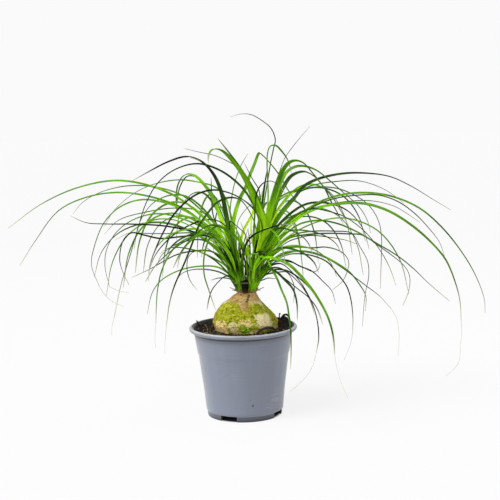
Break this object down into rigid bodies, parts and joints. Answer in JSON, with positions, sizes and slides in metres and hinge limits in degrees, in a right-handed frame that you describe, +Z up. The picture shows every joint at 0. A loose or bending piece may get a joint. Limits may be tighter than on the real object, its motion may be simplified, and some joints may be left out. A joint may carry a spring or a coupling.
{
  "type": "potted ponytail palm",
  "caption": "House plant with a swollen round stem base and long arching grass-like leaves, growing in a tapered plastic nursery pot.",
  "frame": {"origin": "centre of the pot's foot on the table; the leaves are spread so that the object's outline box is centred over it", "axes": "+Z up, +X to the viewer's right along the widest spread of the leaves, -Y towards the viewer; the pot stands on -Z"},
  "size_m": [0.5252, 0.411, 0.333],
  "materials": {
    "pot_plastic": "satin",
    "potting_soil": "matte",
    "stem_bark": "matte",
    "dead_stem": "matte",
    "dry_leaf": "matte",
    "green_leaf": "satin"
  },
  "bodies": {
    "root": {"pot": "pot_plastic", "soil": "potting_soil", "caudex": "stem_bark", "old_stem_stump": "dead_stem", "dry_leaf_bases_left": "dry_leaf", "dry_leaf_bases_right": "dry_leaf", "leaf_head_left": "green_leaf", "leaf_head_right": "green_leaf"}
  },
  "joints": []
}
